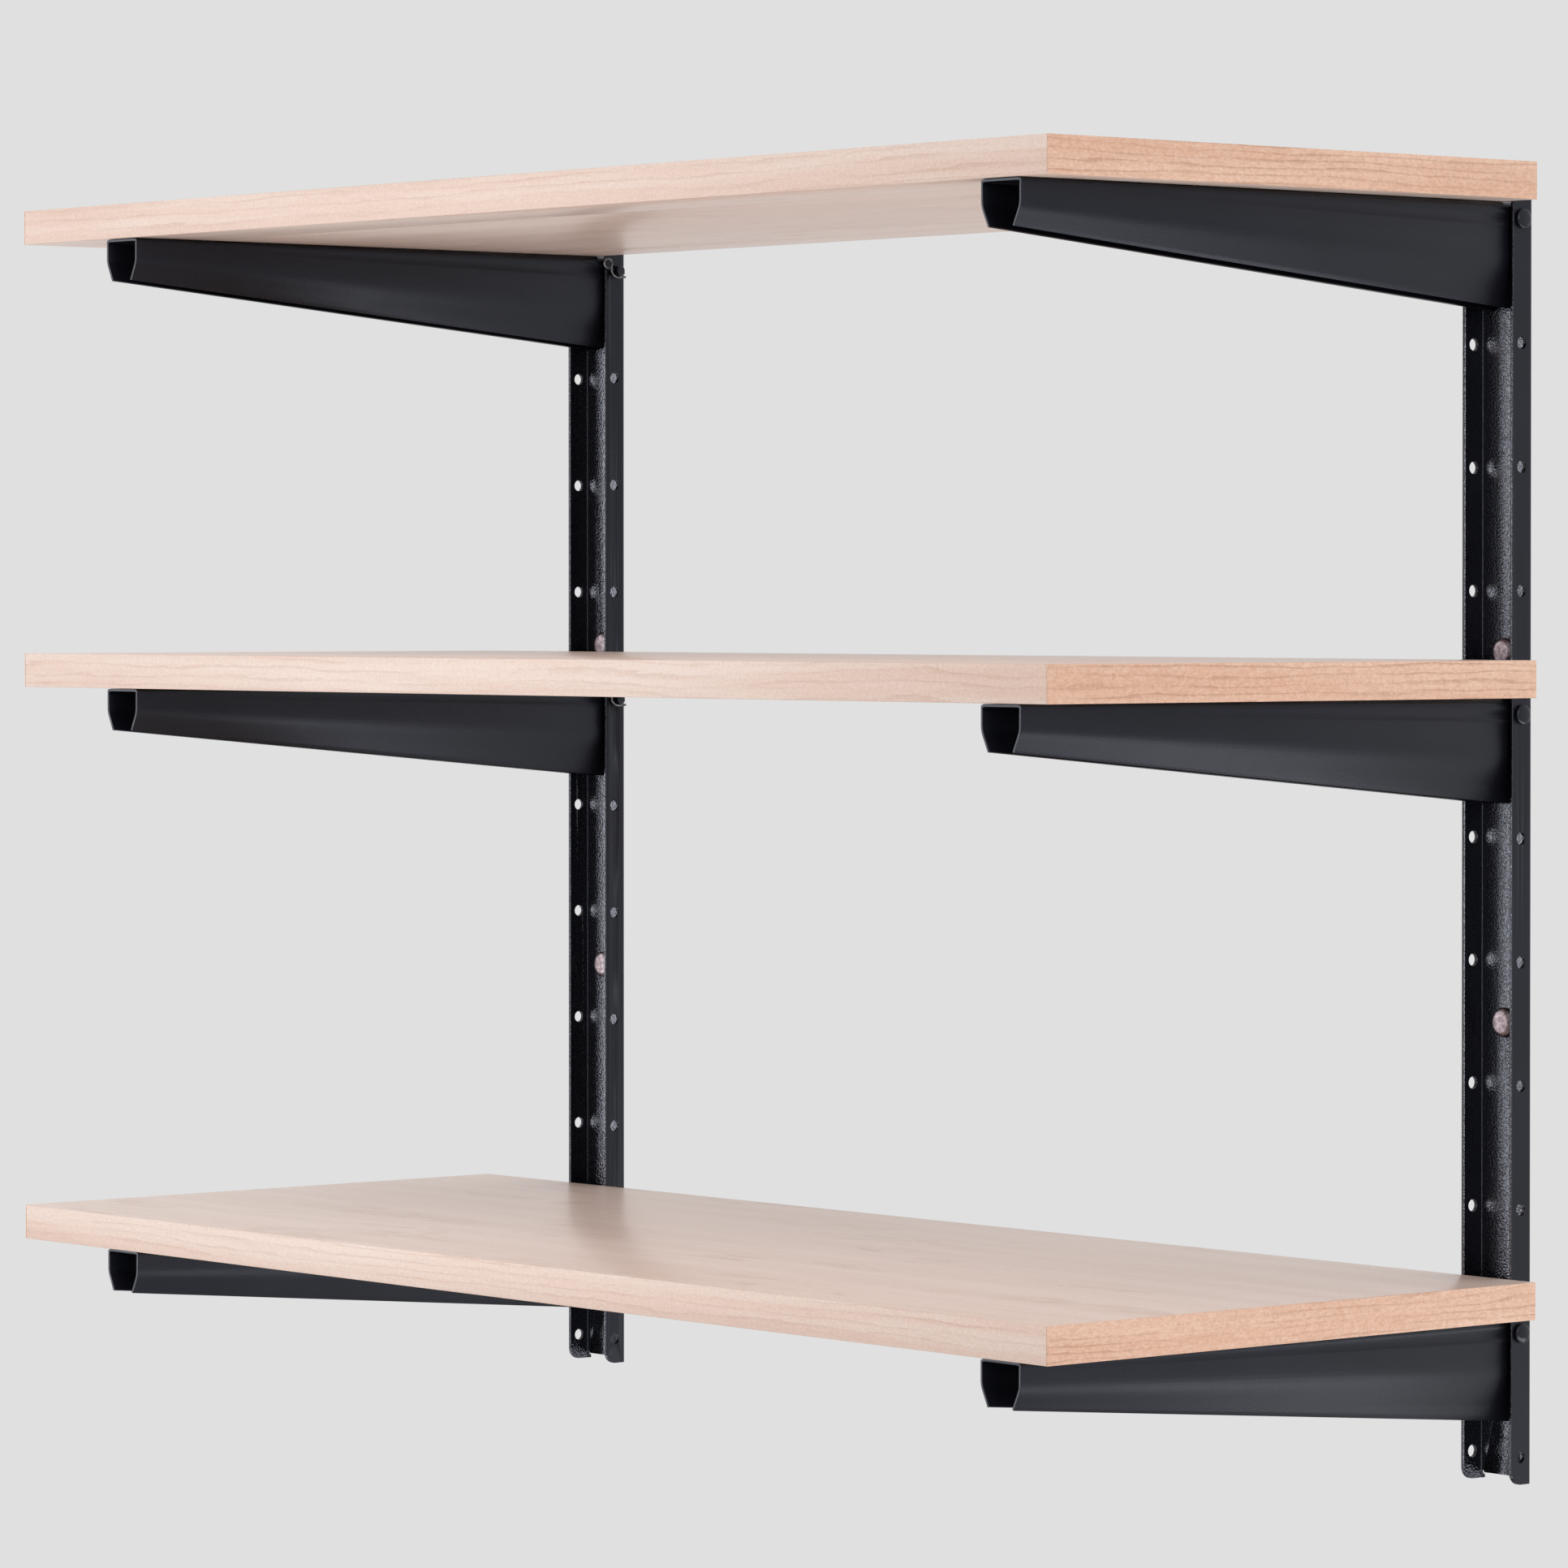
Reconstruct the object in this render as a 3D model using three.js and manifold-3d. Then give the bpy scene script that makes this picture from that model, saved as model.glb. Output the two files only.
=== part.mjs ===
// Heavy-duty wall shelf: three laminated boards on six folded-steel brackets.
// Each bracket hooks into a U-channel upright with a headed pin, and an R-clip locks the pin.
//
// Frame: millimetres, +Z up, the front faces -Y and the wall is the plane Y = 0.
// The origin is on the wall plane, midway between the uprights, level with their middle holes.

import * as THREE from 'three';
import { mergeVertices } from 'three/addons/utils/BufferGeometryUtils.js';
import Module from 'manifold-3d';

const wasm = await Module();
wasm.setup();

// ---------------------------------------------------------------- driving dimensions

// Uprights: U-channels open to the front, with rows of pin holes in their side walls.
const UPRIGHT_SPACING = 1043;      // centre to centre
const CHANNEL_WIDTH = 50.8;
const CHANNEL_DEPTH = 20.6;
const CHANNEL_WALL = 3;
const CHANNEL_BEND = 1;            // inner radius of the two folds
const HOLE_PITCH = 88.9;
const HOLE_LEVELS = 11;
const PIN_AXIS_SETBACK = 8.6;      // from the channel's front edges back to the pin axis
const END_MARGIN = 20;             // end pin hole to the tip of the channel's ears
const EAR_LENGTH = 4;              // how far the side walls run on past the web
const EAR_RADIUS = 9;              // rounding of each ear's front corner
const NOTCH_RADIUS = 1.8;          // relief notch where the ear leaves the fold

// Wall bolts: low round heads, square necks that can't turn in the web and end flush with its back.
const BOLT_LEVELS = [0.5, 3.5, 6.5, 9.5];   // counted in hole pitches from the top hole
const BOLT_HEAD_DIAMETER = 21;
const BOLT_HEAD_HEIGHT = 4;
const BOLT_HEAD_RIM = 1.4;         // height of the head's upright rim
const BOLT_HEAD_FLAT = 0.62;       // share of the head's radius inside its rounded edge
const BOLT_NECK_SIDE = 9.5;

// Brackets: an inverted U of folded sheet, low at the tip and high at the heel.
const BRACKET_SHEET = 2;
const BRACKET_CORNER = 5;          // outer radius of the two top folds
const BRACKET_TIP_HEIGHT = 33;
const BRACKET_HEEL_HEIGHT = 77;
const BRACKET_LEAN = 7;            // how far each side wall leans in at its lower edge
const BRACKET_STRAIGHT = 0.45;     // share of the side wall's height that stands upright
const BRACKET_SWEEP = 0.4;         // share of the leaning part that is curved
const BRACKET_TOP_ABOVE_PIN = 12;
const HEEL_RELIEF = 3;             // how far the heel's top corner is cut back so it can tip

// Boards: a wood-fibre core with a band glued along each edge.
const BOARD_DEPTH = 470;
const BOARD_THICKNESS = 27;
const BOARD_PAST_LEFT = 133.5;     // board end beyond the left upright's centre line
const BOARD_PAST_RIGHT = 50.5;     // board end beyond the right upright's centre line
const BAND_THICKNESS = 1;
const TIP_SETBACK = 3;             // bracket tip behind the board's front edge

// The levels whose holes carry a shelf, counted from the top hole.
const SHELVES = [
  { name: 'top', level: 0 },
  { name: 'middle', level: 4 },
  { name: 'bottom', level: 9 },
];

// Pins and their R-clips.
const PIN_DIAMETER = 8;
const PIN_HEAD_DIAMETER = 14.2;
const PIN_HEAD_HEIGHT = 3.6;
const PIN_HEAD_RIM = 0.9;          // bevel round the head's face
const PIN_OVERRUN = 9.5;           // shank beyond the channel's far wall
const PIN_CHAMFER = 1;
const CLIP_WIRE = 2;
const CLIP_FROM_WALL = 3.4;        // centre of the cross hole beyond the channel wall
const CLIP_EYE_RADIUS = 3.4;       // wire centre line
const CLIP_EYE_REACH = 12;         // pin axis to the eye's centre along the straight leg
const CLIP_TAIL = 8;               // pin axis to the straight leg's end
const CLIP_TILT = 14;              // degrees that the eye stands up from level
const CLIP_LEG_SPREAD = 2.4;       // sideways from the straight leg to the curved one

// Wood screws up through each bracket's top into the board.
const SCREW_FROM_TIP = 70;         // front screw behind the bracket's tip
const SCREW_FROM_HEEL = 86.3;      // rear screw in front of the bracket's heel
const SCREW_HEAD_DIAMETER = 9;
const SCREW_HEAD_HEIGHT = 3;
const SCREW_SHANK_DIAMETER = 4.2;
const SCREW_LENGTH = 17;

// Clearances.
const SEAT_GAP = 0.3;              // between a piece and what it rests on or bears against
const BRACKET_SIDE_PLAY = 1.9;     // each side, bracket between the channel's walls
const PIN_HOLE_PLAY = 0.5;         // each side, pin in the channel's holes
const BRACKET_HOLE_PLAY = 0.4;     // each side, pin in the bracket's holes
const GLUE_LINE = 0.1;             // between the board core and its bands
const BOARD_TO_CHANNEL = 2;        // rear edge of a board in front of the channels
const BOLT_NECK_PLAY = 0.3;        // each side, square neck in its square hole
const SCREW_PLAY = 0.3;            // each side, screw shank in the board and the bracket
const CROSS_HOLE_PLAY = 0.3;       // each side, clip wire in the pin's cross hole
const CLIP_PLAY = 0.3;             // curved leg of the clip below the pin

// Facets around the round features.
const HOLE_FACETS = 16;
const PIN_FACETS = 16;
const HEAD_FACETS = 16;
const WIRE_FACETS = 3;             // half of the wire's sides
const WIRE_STEPS = 36;
const DOME_STEPS = 3;
const EYE_STEPS = 8;
const SIDE_WALL_STEPS = 6;         // bands down a bracket's side wall
const ARC_STEPS = 2;

// ---------------------------------------------------------------- finishes

const finish = (color, roughness, metalness) =>
  new THREE.MeshStandardMaterial({ color, roughness, metalness });
const BLACK_POWDER_COAT = finish(0x1c1c20, 0.42, 0.0);
const BLACK_GLOSS = finish(0x0c0c0e, 0.2, 0.3);
const ZINC = finish(0xb9b2b6, 0.35, 1.0);
const WOOD_LAMINATE = finish(0xdcb49a, 0.4, 0.0);
const WOOD_EDGE = finish(0xd9ab8c, 0.45, 0.0);

// ---------------------------------------------------------------- places worked out from them

const holeHeight = (level) => ((HOLE_LEVELS - 1) / 2 - level) * HOLE_PITCH;
const uprightEnd = ((HOLE_LEVELS - 1) / 2) * HOLE_PITCH + END_MARGIN;
const pinAxisY = PIN_AXIS_SETBACK - CHANNEL_DEPTH;
const boardRearY = -CHANNEL_DEPTH - BOARD_TO_CHANNEL;
const boardFrontY = boardRearY - BOARD_DEPTH;
const bracketTipY = boardFrontY + TIP_SETBACK;
const bracketHeelY = -CHANNEL_WALL - SEAT_GAP;
const bracketLength = bracketHeelY - bracketTipY;
const bracketWidth = CHANNEL_WIDTH - 2 * (CHANNEL_WALL + BRACKET_SIDE_PLAY);
const boardLeftX = -UPRIGHT_SPACING / 2 - BOARD_PAST_LEFT;
const boardRightX = UPRIGHT_SPACING / 2 + BOARD_PAST_RIGHT;
const screwStations = [SCREW_FROM_TIP, bracketLength - SCREW_FROM_HEEL];
const boardBottomAbovePin = BRACKET_TOP_ABOVE_PIN + SEAT_GAP;
const SIDES = [
  { name: 'left', sign: -1 },
  { name: 'right', sign: 1 },
];

// ---------------------------------------------------------------- booleans

function toSolid(geometry, matrix = new THREE.Matrix4()) {
  const bare = geometry.clone();
  bare.deleteAttribute('normal');
  bare.deleteAttribute('uv');
  const merged = mergeVertices(bare, 1e-4);
  merged.applyMatrix4(matrix);
  return new wasm.Manifold(new wasm.Mesh({
    numProp: 3,
    vertProperties: new Float32Array(merged.attributes.position.array),
    triVerts: new Uint32Array(merged.index.array),
  }));
}

function toGeometry(solid) {
  const mesh = solid.getMesh();
  const geometry = new THREE.BufferGeometry();
  geometry.setAttribute('position', new THREE.BufferAttribute(new Float32Array(mesh.vertProperties), 3));
  geometry.setIndex(new THREE.BufferAttribute(new Uint32Array(mesh.triVerts), 1));
  geometry.computeVertexNormals();
  return geometry;
}

const at = (x, y, z) => new THREE.Matrix4().makeTranslation(x, y, z);

function boxBetween(low, high) {
  const [x, y, z] = [0, 1, 2].map((i) => (low[i] + high[i]) / 2);
  return toSolid(new THREE.BoxGeometry(...[0, 1, 2].map((i) => high[i] - low[i])), at(x, y, z));
}

// A closed round rod along X, Y or Z, centred on a point.
function rod(axis, diameter, length, centre, facets = HOLE_FACETS) {
  const turn = new THREE.Matrix4();
  if (axis === 'x') turn.makeRotationZ(Math.PI / 2);
  if (axis === 'z') turn.makeRotationX(Math.PI / 2);
  const place = at(...centre).multiply(turn);
  return toSolid(new THREE.CylinderGeometry(diameter / 2, diameter / 2, length, facets), place);
}

// A prism across X, centred on X = 0, from a shape whose axes are laid along Y and Z.
function prismAcross(shape, width) {
  const slab = new THREE.ExtrudeGeometry(shape, {
    depth: width,
    bevelEnabled: false,
    curveSegments: ARC_STEPS * 3,
  });
  const basis = new THREE.Matrix4().makeBasis(
    new THREE.Vector3(0, 1, 0),
    new THREE.Vector3(0, 0, 1),
    new THREE.Vector3(1, 0, 0),
  );
  return toSolid(slab, at(-width / 2, 0, 0).multiply(basis));
}

const cutAll = (solid, tools) => tools.reduce((body, tool) => body.subtract(tool), solid);

// ---------------------------------------------------------------- uprights

// Channel section in X and Y: walls forward (-Y), web on the wall plane.
function channelSection() {
  const half = CHANNEL_WIDTH / 2;
  const inner = half - CHANNEL_WALL;
  const outerBend = CHANNEL_BEND + CHANNEL_WALL;
  const shape = new THREE.Shape();
  shape.moveTo(half, -CHANNEL_DEPTH);
  shape.lineTo(half, -outerBend);
  shape.absarc(half - outerBend, -outerBend, outerBend, 0, Math.PI / 2, false);
  shape.lineTo(outerBend - half, 0);
  shape.absarc(outerBend - half, -outerBend, outerBend, Math.PI / 2, Math.PI, false);
  shape.lineTo(-half, -CHANNEL_DEPTH);
  shape.lineTo(-inner, -CHANNEL_DEPTH);
  shape.lineTo(-inner, -outerBend);
  shape.absarc(CHANNEL_BEND - inner, -outerBend, CHANNEL_BEND, Math.PI, Math.PI / 2, true);
  shape.lineTo(inner - CHANNEL_BEND, -CHANNEL_WALL);
  shape.absarc(inner - CHANNEL_BEND, -outerBend, CHANNEL_BEND, Math.PI / 2, 0, true);
  shape.lineTo(inner, -CHANNEL_DEPTH);
  shape.closePath();
  return shape;
}

// The corner of sheet that is left over outside an ear's rounded front corner, in Y and Z.
function earCornerCutter(end) {
  const front = -CHANNEL_DEPTH;
  const shape = new THREE.Shape();
  shape.moveTo(front - 1, uprightEnd + 1);
  shape.lineTo(front - 1, uprightEnd - EAR_RADIUS);
  shape.lineTo(front, uprightEnd - EAR_RADIUS);
  shape.absarc(front + EAR_RADIUS, uprightEnd - EAR_RADIUS, EAR_RADIUS, Math.PI, Math.PI / 2, true);
  shape.lineTo(front + EAR_RADIUS, uprightEnd + 1);
  shape.closePath();
  const cutter = prismAcross(shape, CHANNEL_WIDTH + 2);
  return end > 0 ? cutter : cutter.mirror([0, 0, 1]);
}

function uprightGeometry() {
  const length = uprightEnd * 2;
  const blank = new THREE.ExtrudeGeometry(channelSection(), {
    depth: length,
    bevelEnabled: false,
    curveSegments: ARC_STEPS,
  });
  const pinHole = PIN_DIAMETER + PIN_HOLE_PLAY * 2;
  const cutters = [];
  for (let level = 0; level < HOLE_LEVELS; level += 1) {
    cutters.push(rod('x', pinHole, CHANNEL_WIDTH + 4, [0, pinAxisY, holeHeight(level)]));
  }
  const neck = BOLT_NECK_SIDE / 2 + BOLT_NECK_PLAY;
  for (const level of BOLT_LEVELS) {
    const height = holeHeight(level);
    cutters.push(boxBetween([-neck, -CHANNEL_WALL - 1, height - neck], [neck, 1, height + neck]));
  }
  const foldX = CHANNEL_WIDTH / 2 - CHANNEL_WALL - CHANNEL_BEND;
  const foldY = -CHANNEL_WALL - CHANNEL_BEND;
  for (const end of [-1, 1]) {
    cutters.push(earCornerCutter(end));
    const webEnd = end * (uprightEnd - EAR_LENGTH);
    const past = end * (uprightEnd + 1);
    const span = [Math.min(webEnd, past), Math.max(webEnd, past)];
    cutters.push(boxBetween([-foldX, foldY, span[0]], [foldX, 1, span[1]]));
    for (const side of [-1, 1]) {
      cutters.push(rod('y', NOTCH_RADIUS * 2, 8, [side * foldX, foldY / 2, webEnd]));
    }
  }
  return toGeometry(cutAll(toSolid(blank, at(0, 0, -uprightEnd)), cutters));
}

// ---------------------------------------------------------------- wall bolts

// A solid turned about Y, whose profile runs from the axis at its low end to the axis at its high end.
function turned(profile, facets) {
  const points = profile.map(([radius, height]) => new THREE.Vector2(radius, height));
  return toSolid(new THREE.LatheGeometry(points, facets));
}

// Built along Y with the head's seat at Y = 0 and the head towards -Y.
function wallBoltGeometry() {
  const rim = BOLT_HEAD_DIAMETER / 2;
  const dome = [[0, -BOLT_HEAD_HEIGHT]];
  for (let step = 0; step <= DOME_STEPS; step += 1) {
    const angle = (step / DOME_STEPS) * (Math.PI / 2);
    const radius = rim * (BOLT_HEAD_FLAT + (1 - BOLT_HEAD_FLAT) * Math.sin(angle));
    dome.push([radius, -BOLT_HEAD_RIM - (BOLT_HEAD_HEIGHT - BOLT_HEAD_RIM) * Math.cos(angle)]);
  }
  const head = turned([...dome, [rim, 0], [0, 0]], HEAD_FACETS);
  const neck = BOLT_NECK_SIDE / 2;
  return toGeometry(head.add(boxBetween([-neck, -BOLT_HEAD_RIM / 2, -neck], [neck, CHANNEL_WALL, neck])));
}

// ---------------------------------------------------------------- brackets

// Section of the tip in X and Z, hung from its top at Z = 0 with upright side walls.
function bracketSection() {
  const half = bracketWidth / 2;
  const inner = half - BRACKET_SHEET;
  const bend = BRACKET_CORNER - BRACKET_SHEET;
  const drop = BRACKET_TIP_HEIGHT;
  const shape = new THREE.Shape();
  shape.moveTo(half, -drop);
  for (let step = 1; step <= SIDE_WALL_STEPS; step += 1) {
    shape.lineTo(half, -drop + ((drop - BRACKET_CORNER) * step) / SIDE_WALL_STEPS);
  }
  shape.absarc(half - BRACKET_CORNER, -BRACKET_CORNER, BRACKET_CORNER, 0, Math.PI / 2, false);
  shape.lineTo(BRACKET_CORNER - half, 0);
  shape.absarc(BRACKET_CORNER - half, -BRACKET_CORNER, BRACKET_CORNER, Math.PI / 2, Math.PI, false);
  for (let step = SIDE_WALL_STEPS - 1; step >= 0; step -= 1) {
    shape.lineTo(-half, -drop + ((drop - BRACKET_CORNER) * step) / SIDE_WALL_STEPS);
  }
  shape.lineTo(-inner, -drop);
  for (let step = 1; step <= SIDE_WALL_STEPS; step += 1) {
    shape.lineTo(-inner, -drop + ((drop - BRACKET_CORNER) * step) / SIDE_WALL_STEPS);
  }
  shape.absarc(bend - inner, -BRACKET_CORNER, bend, Math.PI, Math.PI / 2, true);
  shape.lineTo(inner - bend, -BRACKET_SHEET);
  shape.absarc(inner - bend, -BRACKET_CORNER, bend, Math.PI / 2, 0, true);
  for (let step = SIDE_WALL_STEPS - 1; step >= 1; step -= 1) {
    shape.lineTo(inner, -drop + ((drop - BRACKET_CORNER) * step) / SIDE_WALL_STEPS);
  }
  shape.lineTo(inner, -drop);
  shape.closePath();
  return shape;
}

// How far a side wall leans in at a share of its height, 0 at the fold and 1 at the lower edge.
function leanAt(share) {
  const below = (share - BRACKET_STRAIGHT) / (1 - BRACKET_STRAIGHT);
  if (below <= 0) return 0;
  const curved = (below * below) / (2 * BRACKET_SWEEP);
  const travel = below < BRACKET_SWEEP ? curved : below - BRACKET_SWEEP / 2;
  return (BRACKET_LEAN * travel) / (1 - BRACKET_SWEEP / 2);
}

// Built with its top at Z = 0, the tip at Y = 0 and the heel at Y = bracketLength.
function bracketGeometry() {
  const blank = new THREE.ExtrudeGeometry(bracketSection(), {
    depth: bracketLength,
    bevelEnabled: false,
    curveSegments: ARC_STEPS,
  });
  // The section's second axis is laid along Z and its depth along Y, seen from the front.
  blank.applyMatrix4(new THREE.Matrix4().makeRotationX(Math.PI / 2));
  blank.applyMatrix4(at(0, bracketLength, 0));
  const points = blank.attributes.position;
  for (let i = 0; i < points.count; i += 1) {
    const along = points.getY(i) / bracketLength;
    const height = THREE.MathUtils.lerp(BRACKET_TIP_HEIGHT, BRACKET_HEEL_HEIGHT, along);
    const depth = -points.getZ(i);
    const share = Math.max(0, (depth - BRACKET_CORNER) / (BRACKET_TIP_HEIGHT - BRACKET_CORNER));
    if (share > 0) {
      points.setZ(i, -BRACKET_CORNER - share * (height - BRACKET_CORNER));
      points.setX(i, points.getX(i) - Math.sign(points.getX(i)) * leanAt(share));
    }
  }
  const pinY = pinAxisY - bracketTipY;
  const pinHole = PIN_DIAMETER + BRACKET_HOLE_PLAY * 2;
  const cutters = [rod('x', pinHole, bracketWidth + 4, [0, pinY, -BRACKET_TOP_ABOVE_PIN])];
  for (const station of screwStations) {
    const hole = SCREW_SHANK_DIAMETER + SCREW_PLAY * 2;
    cutters.push(rod('z', hole, BRACKET_SHEET * 4, [0, station, 0]));
  }
  const relief = new THREE.Shape();
  relief.moveTo(bracketLength + 1, 1);
  relief.lineTo(bracketLength - HEEL_RELIEF, 1);
  relief.lineTo(bracketLength - HEEL_RELIEF, -BRACKET_CORNER);
  relief.lineTo(bracketLength + 1, -BRACKET_TOP_ABOVE_PIN * 2);
  relief.closePath();
  cutters.push(prismAcross(relief, bracketWidth + 2));
  return toGeometry(cutAll(toSolid(blank), cutters));
}

// ---------------------------------------------------------------- boards and bands

// Built with its underside at Z = 0 and X measured from the middle between the uprights.
function boardCoreGeometry() {
  const inset = BAND_THICKNESS + GLUE_LINE;
  const low = [boardLeftX + inset, boardFrontY + inset, 0];
  const high = [boardRightX - inset, boardRearY - inset, BOARD_THICKNESS];
  const hole = SCREW_SHANK_DIAMETER + SCREW_PLAY * 2;
  const depth = SCREW_LENGTH - BRACKET_SHEET + 1;
  const cutters = [];
  for (const side of SIDES) {
    for (const station of screwStations) {
      const centre = [(side.sign * UPRIGHT_SPACING) / 2, bracketTipY + station, depth / 2 - 1];
      cutters.push(rod('z', hole, depth + 2, centre));
    }
  }
  return toGeometry(cutAll(boxBetween(low, high), cutters));
}

// The end bands run the board's full depth, and the long bands fit between them.
function bandGeometries() {
  const [left, right] = [boardLeftX, boardRightX];
  const inset = BAND_THICKNESS + GLUE_LINE;
  const top = BOARD_THICKNESS;
  const slab = (low, high) => toGeometry(boxBetween(low, high));
  return {
    left: slab([left, boardFrontY, 0], [left + BAND_THICKNESS, boardRearY, top]),
    right: slab([right - BAND_THICKNESS, boardFrontY, 0], [right, boardRearY, top]),
    front: slab([left + inset, boardFrontY, 0], [right - inset, boardFrontY + BAND_THICKNESS, top]),
    rear: slab([left + inset, boardRearY - BAND_THICKNESS, 0], [right - inset, boardRearY, top]),
  };
}

// ---------------------------------------------------------------- board screws

// Built along Z with the head's seat at Z = 0 and the point upwards.
function boardScrewGeometry() {
  const head = SCREW_HEAD_DIAMETER / 2;
  const shank = SCREW_SHANK_DIAMETER / 2;
  const profile = [
    [0, -SCREW_HEAD_HEIGHT],
    [head * 0.6, -SCREW_HEAD_HEIGHT],
    [head, -SCREW_HEAD_HEIGHT * 0.4],
    [head, 0],
    [shank, 0],
    [shank, SCREW_LENGTH - shank * 2],
    [0, SCREW_LENGTH],
  ];
  return toGeometry(turned(profile, HOLE_FACETS).rotate([90, 0, 0]));
}

// ---------------------------------------------------------------- pins and R-clips

const pinReach = CHANNEL_WIDTH + SEAT_GAP + PIN_OVERRUN;
const clipStation = SEAT_GAP + CHANNEL_WIDTH + CLIP_FROM_WALL;

// A pin goes in from outside its upright, so the right-hand pieces are the left-hand ones mirrored.
const handed = (solid, side) => toGeometry(side.sign < 0 ? solid : solid.mirror([1, 0, 0]));

// Built along X with the head's seat at X = 0 and the shank towards +X.
function pinSolid() {
  const head = PIN_HEAD_DIAMETER / 2;
  const shank = PIN_DIAMETER / 2;
  const profile = [
    [0, -PIN_HEAD_HEIGHT],
    [head - PIN_HEAD_RIM, -PIN_HEAD_HEIGHT],
    [head - PIN_HEAD_RIM * 0.3, -PIN_HEAD_HEIGHT + PIN_HEAD_RIM * 0.3],
    [head, -PIN_HEAD_HEIGHT + PIN_HEAD_RIM],
    [head, 0],
    [shank, 0],
    [shank, pinReach - PIN_CHAMFER],
    [shank - PIN_CHAMFER, pinReach],
    [0, pinReach],
  ];
  // The cross hole lies along the clip's straight leg, which tilts about the pin.
  const cross = rod('y', CLIP_WIRE + CROSS_HOLE_PLAY * 2, PIN_DIAMETER * 2, [0, 0, 0], WIRE_FACETS * 4);
  const alongX = turned(profile, PIN_FACETS).rotate([0, 0, -90]);
  const placed = cross.rotate([-CLIP_TILT, 0, 0]).translate([clipStation, 0, 0]);
  return alongX.subtract(placed);
}

// Wire centre line in the clip's own plane: u runs from the pin to the eye, v is upwards.
// The eye turns over the straight leg and the second leg wraps under the pin.
function clipCurve() {
  const under = -(PIN_DIAMETER / 2 + CLIP_WIRE / 2 + CLIP_PLAY);
  const points = [
    [-CLIP_TAIL, 0, 0],
    [-CLIP_TAIL / 2, 0, 0],
    [0, 0, 0],
    [CLIP_EYE_REACH / 2, 0, 0],
  ];
  for (let step = 0; step <= EYE_STEPS; step += 1) {
    const share = step / EYE_STEPS;
    const angle = -Math.PI / 2 + share * Math.PI * 1.5;
    const u = CLIP_EYE_REACH + CLIP_EYE_RADIUS * Math.cos(angle);
    const v = CLIP_EYE_RADIUS + CLIP_EYE_RADIUS * Math.sin(angle);
    points.push([u, v, CLIP_LEG_SPREAD * share]);
  }
  points.push(
    [CLIP_EYE_REACH - CLIP_EYE_RADIUS - 0.4, 0.4, CLIP_LEG_SPREAD],
    [CLIP_EYE_REACH / 2 + 0.6, under * 0.62, CLIP_LEG_SPREAD],
    [PIN_DIAMETER * 0.4, under, CLIP_LEG_SPREAD],
    [-PIN_DIAMETER * 0.12, under, CLIP_LEG_SPREAD],
    [-PIN_DIAMETER * 0.65, under * 0.72, CLIP_LEG_SPREAD],
    [-CLIP_TAIL, under * 0.62, CLIP_LEG_SPREAD],
  );
  return new THREE.CatmullRomCurve3(points.map(([u, v, w]) => new THREE.Vector3(w, -u, v)));
}

// Built about the pin axis, with the wire's first leg in the plane X = clipStation.
function clipSolid() {
  const section = new THREE.Shape();
  section.absarc(0, 0, CLIP_WIRE / 2, 0, Math.PI * 2, false);
  const wire = new THREE.ExtrudeGeometry(section, {
    steps: WIRE_STEPS,
    curveSegments: WIRE_FACETS,
    extrudePath: clipCurve(),
  });
  return toSolid(wire).rotate([-CLIP_TILT, 0, 0]).translate([clipStation, 0, 0]);
}

// ---------------------------------------------------------------- assembly

const geometry = {
  upright: uprightGeometry(),
  bracket: bracketGeometry(),
  bolt: wallBoltGeometry(),
  core: boardCoreGeometry(),
  bands: bandGeometries(),
  screw: boardScrewGeometry(),
};
const pin = pinSolid();
const clip = clipSolid();

function place(name, shape, material, parent, position = [0, 0, 0]) {
  const mesh = new THREE.Mesh(shape, material);
  mesh.name = name;
  mesh.position.set(...position);
  parent.add(mesh);
  return mesh;
}

const wallShelf = new THREE.Group();

for (const side of SIDES) {
  const upright = new THREE.Group();
  upright.position.x = (side.sign * UPRIGHT_SPACING) / 2;
  wallShelf.add(upright);
  place(`upright_${side.name}`, geometry.upright, BLACK_POWDER_COAT, upright);
  BOLT_LEVELS.forEach((level, index) => {
    const seat = [0, -CHANNEL_WALL - SEAT_GAP, holeHeight(level)];
    place(`wall_bolt_${side.name}_${index + 1}`, geometry.bolt, ZINC, upright, seat);
  });
}

for (const { name, level } of SHELVES) {
  const shelf = new THREE.Group();
  shelf.position.z = holeHeight(level);
  wallShelf.add(shelf);
  place(`board_${name}`, geometry.core, WOOD_LAMINATE, shelf, [0, 0, boardBottomAbovePin]);
  for (const [edge, band] of Object.entries(geometry.bands)) {
    place(`edge_band_${name}_${edge}`, band, WOOD_EDGE, shelf, [0, 0, boardBottomAbovePin]);
  }
  for (const side of SIDES) {
    const x = (side.sign * UPRIGHT_SPACING) / 2;
    place(`bracket_${name}_${side.name}`, geometry.bracket, BLACK_POWDER_COAT, shelf,
      [x, bracketTipY, BRACKET_TOP_ABOVE_PIN]);
    screwStations.forEach((station, index) => {
      const seat = BRACKET_TOP_ABOVE_PIN - BRACKET_SHEET - SEAT_GAP;
      place(`board_screw_${name}_${side.name}_${index + 1}`, geometry.screw, ZINC, shelf,
        [x, bracketTipY + station, seat]);
    });
    const pinSeat = [x + side.sign * (CHANNEL_WIDTH / 2 + SEAT_GAP), pinAxisY, 0];
    place(`pin_${name}_${side.name}`, handed(pin, side), BLACK_GLOSS, shelf, pinSeat);
    place(`clip_${name}_${side.name}`, handed(clip, side), ZINC, shelf, pinSeat);
  }
}

export default wallShelf;
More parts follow.
